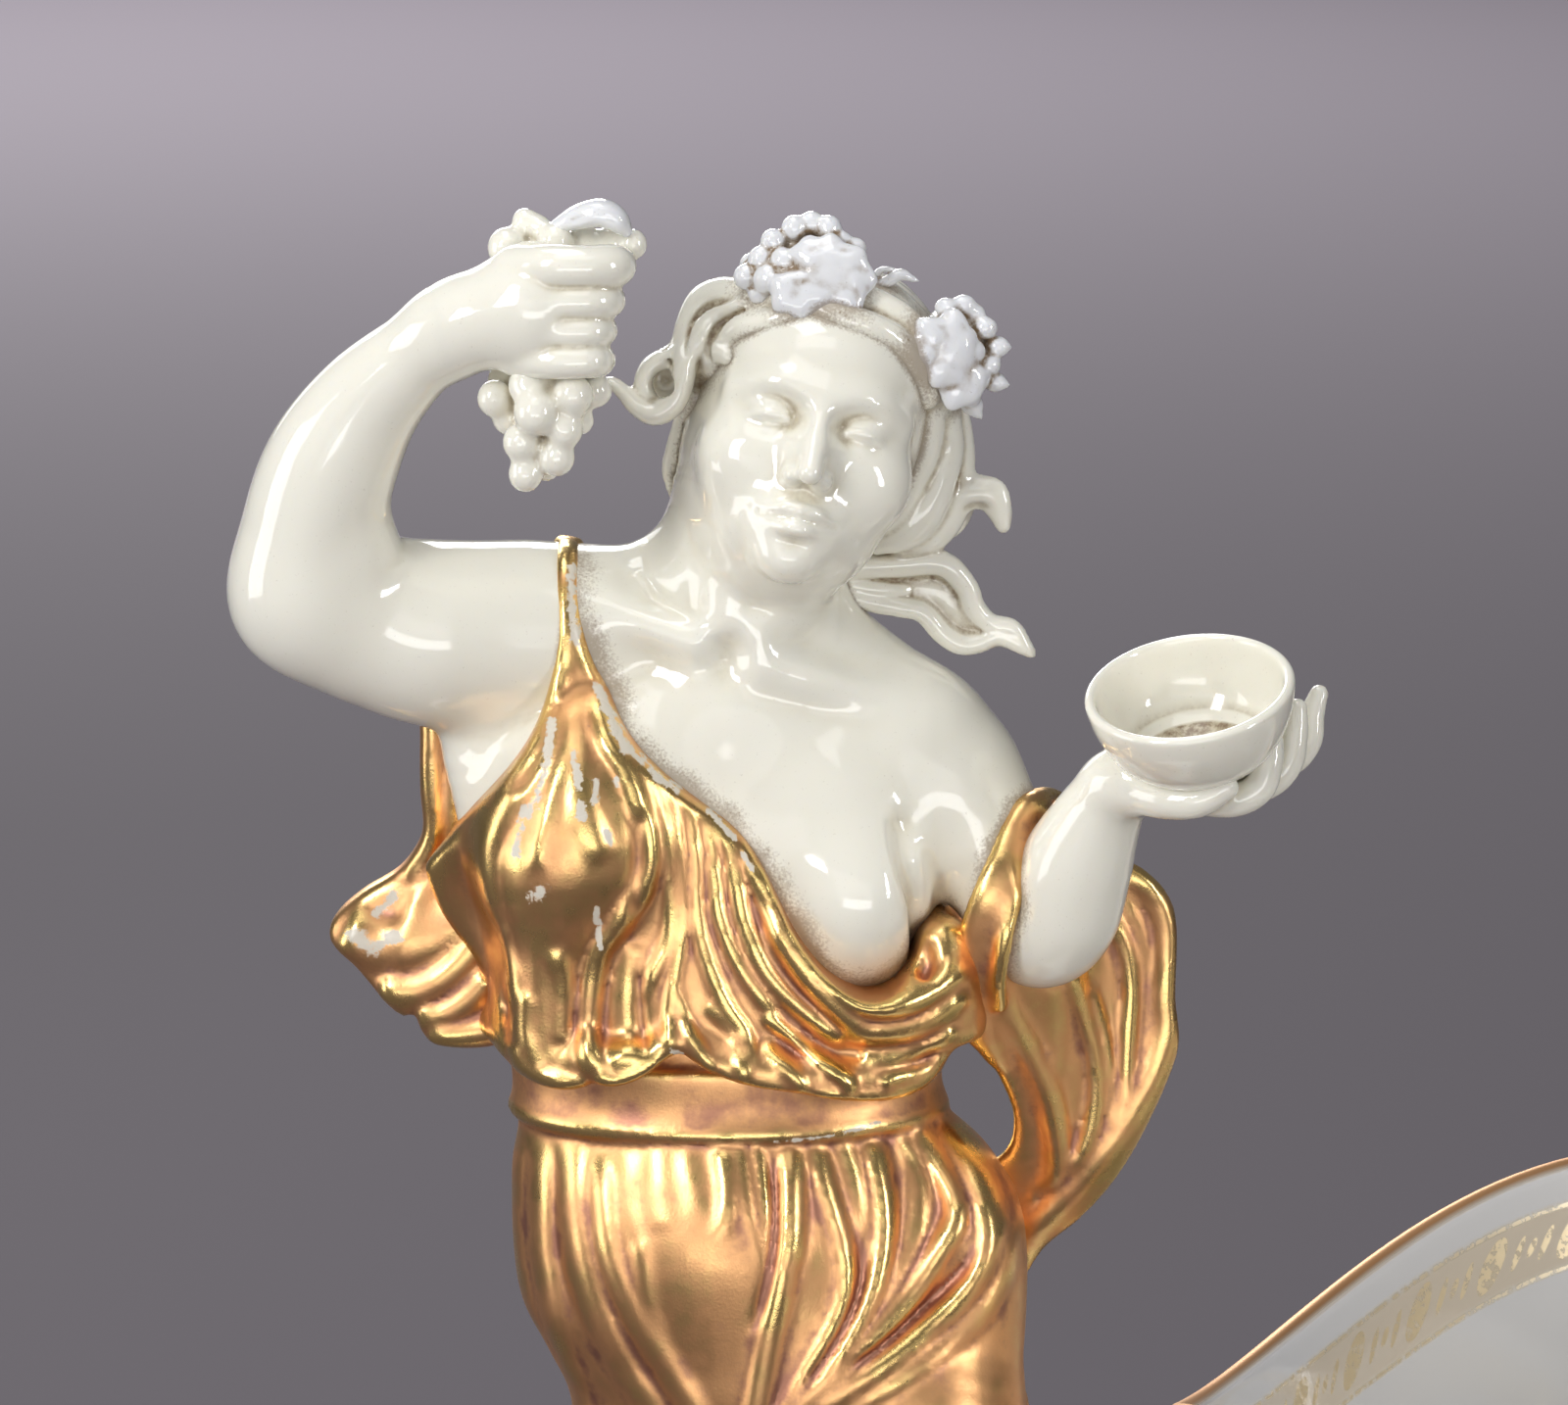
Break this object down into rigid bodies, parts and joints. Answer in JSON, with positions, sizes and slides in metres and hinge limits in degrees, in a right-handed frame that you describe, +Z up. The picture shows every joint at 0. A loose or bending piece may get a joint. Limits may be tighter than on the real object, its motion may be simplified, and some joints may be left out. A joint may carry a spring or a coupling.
{
  "type": "porcelain figural planter",
  "caption": "Low oval base carrying a standing bacchante, who lifts grapes and holds out a wine cup, beside a lobed open planter bowl.",
  "frame": {"origin": "centre of the base's underside", "axes": "+X from the figure towards the bowl, -Y towards the viewer of the picture, +Z up"},
  "size_m": [0.3773, 0.248, 0.3487],
  "materials": {
    "white_glaze": "glossy white glaze with a burnished gold line",
    "ivory_glaze": "glossy warm ivory glaze, the dress in burnished gold",
    "bowl_glaze": "glossy white glaze with a gilt rim and a gilt border inside"
  },
  "bodies": {
    "root": {"base": "white_glaze", "bacchante": "ivory_glaze", "planter_bowl": "bowl_glaze"}
  },
  "joints": []
}
